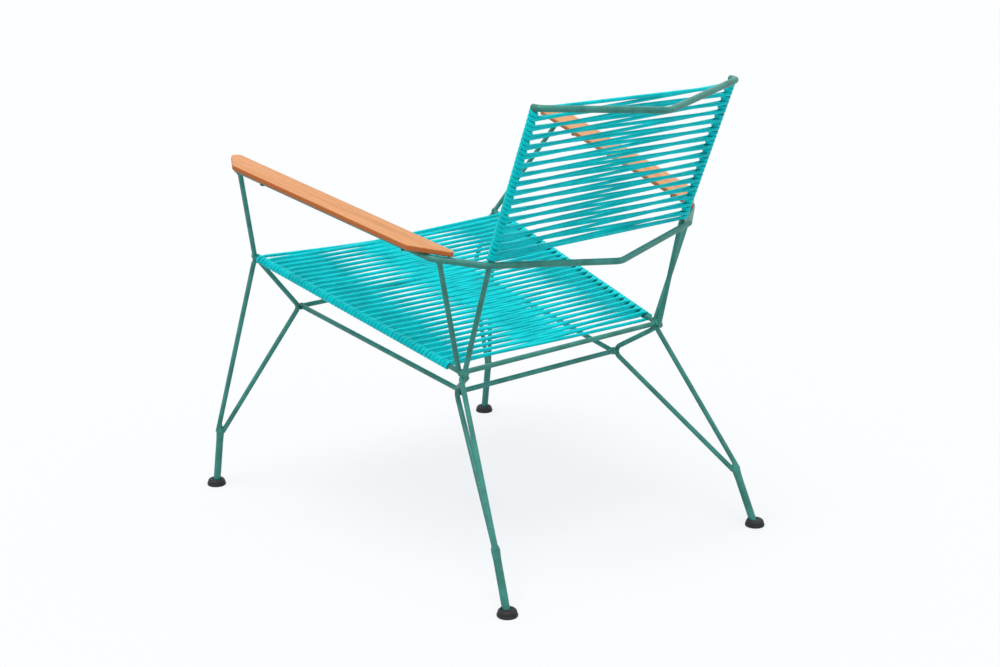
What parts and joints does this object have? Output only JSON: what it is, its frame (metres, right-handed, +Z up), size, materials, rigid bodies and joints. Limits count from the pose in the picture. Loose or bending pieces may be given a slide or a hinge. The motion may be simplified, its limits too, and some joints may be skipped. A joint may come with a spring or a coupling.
{
  "type": "string armchair",
  "caption": "Low outdoor armchair of bent steel rod with a cord-wound seat and back, flat wooden armrests, splayed braced legs and rubber feet.",
  "frame": {"origin": "middle of the chair's outer box on the floor, on the plane of symmetry", "axes": "+Z up, the sitter faces -Y, the sitter's left is +X"},
  "size_m": [0.7056, 0.7838, 0.733],
  "materials": {
    "frame_enamel": "semi-gloss enamel",
    "cord_plastic": "smooth extruded cord",
    "armrest_wood": "satin oil",
    "foot_rubber": "moulded matt",
    "screw_steel": "zinc plated"
  },
  "bodies": {
    "root": {"arm_bow": "frame_enamel", "armrest_left": "armrest_wood", "armrest_right": "armrest_wood", "armrest_screw_front_left": "screw_steel", "armrest_screw_front_right": "screw_steel", "armrest_screw_rear_left": "screw_steel", "armrest_screw_rear_right": "screw_steel", "back_cord": "cord_plastic", "back_rod_left": "frame_enamel", "back_rod_right": "frame_enamel", "front_arm_post_left": "frame_enamel", "front_arm_post_right": "frame_enamel", "front_foot_left": "foot_rubber", "front_foot_right": "foot_rubber", "front_leg_left": "frame_enamel", "front_leg_right": "frame_enamel", "front_lower_leg_left": "frame_enamel", "front_lower_leg_right": "frame_enamel", "front_stretcher": "frame_enamel", "rear_arm_post_left": "frame_enamel", "rear_arm_post_right": "frame_enamel", "rear_foot_left": "foot_rubber", "rear_foot_right": "foot_rubber", "rear_leg_left": "frame_enamel", "rear_leg_right": "frame_enamel", "rear_lower_leg_left": "frame_enamel", "rear_lower_leg_right": "frame_enamel", "rear_stretcher": "frame_enamel", "seat_cord_front": "cord_plastic", "seat_cord_rear": "cord_plastic", "seat_rear_rail": "frame_enamel", "seat_side_rail_left": "frame_enamel", "seat_side_rail_right": "frame_enamel", "side_stretcher_left": "frame_enamel", "side_stretcher_right": "frame_enamel", "top_bow": "frame_enamel"}
  },
  "joints": []
}
